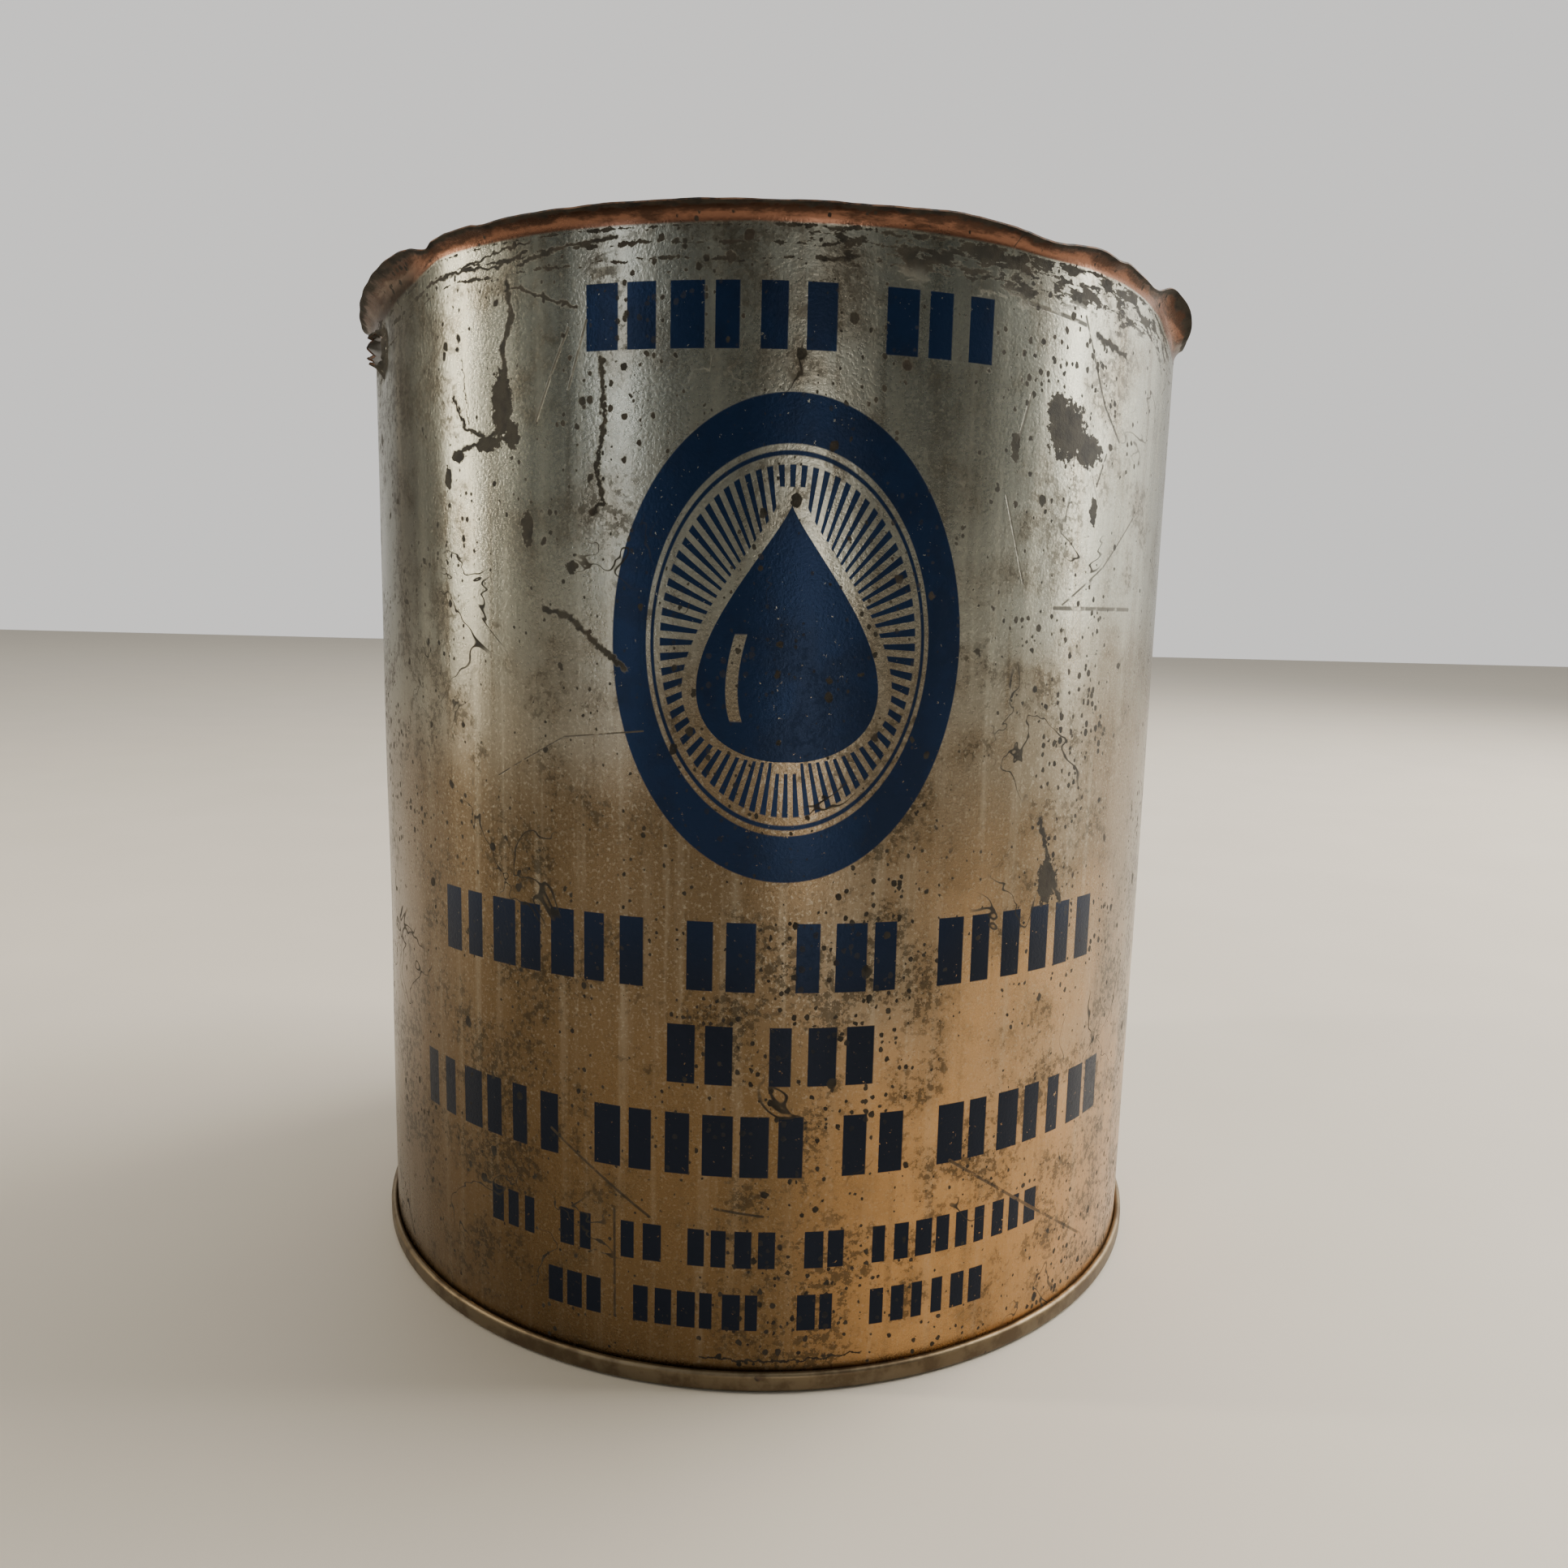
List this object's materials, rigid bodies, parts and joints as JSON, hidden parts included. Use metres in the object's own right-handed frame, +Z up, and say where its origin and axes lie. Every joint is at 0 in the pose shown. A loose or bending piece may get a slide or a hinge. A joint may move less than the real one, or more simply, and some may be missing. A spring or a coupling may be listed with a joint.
{
  "type": "tinplate food can",
  "caption": "Large round tinplate food can with a soldered side seam, double-seamed bottom end and bent open lip.",
  "frame": {"origin": "centre of the bottom seam's resting ring, on the plane the can stands on", "axes": "+Z up along the can's axis, -Y out of the printed front, +X to the right of a viewer facing the front"},
  "size_m": [0.1582, 0.1582, 0.1781],
  "materials": {
    "body_tinplate": "aged tinplate with a worn dark blue print, rust pits and scratches",
    "end_tinplate": "dull aged tinplate with rust along the seam",
    "sealing_compound": "matte dried compound",
    "solder": "dull grey wiped solder"
  },
  "bodies": {
    "root": {"body_shell": "body_tinplate", "bottom_end": "end_tinplate", "seam_compound": "sealing_compound", "side_seam_solder": "solder"}
  },
  "joints": []
}
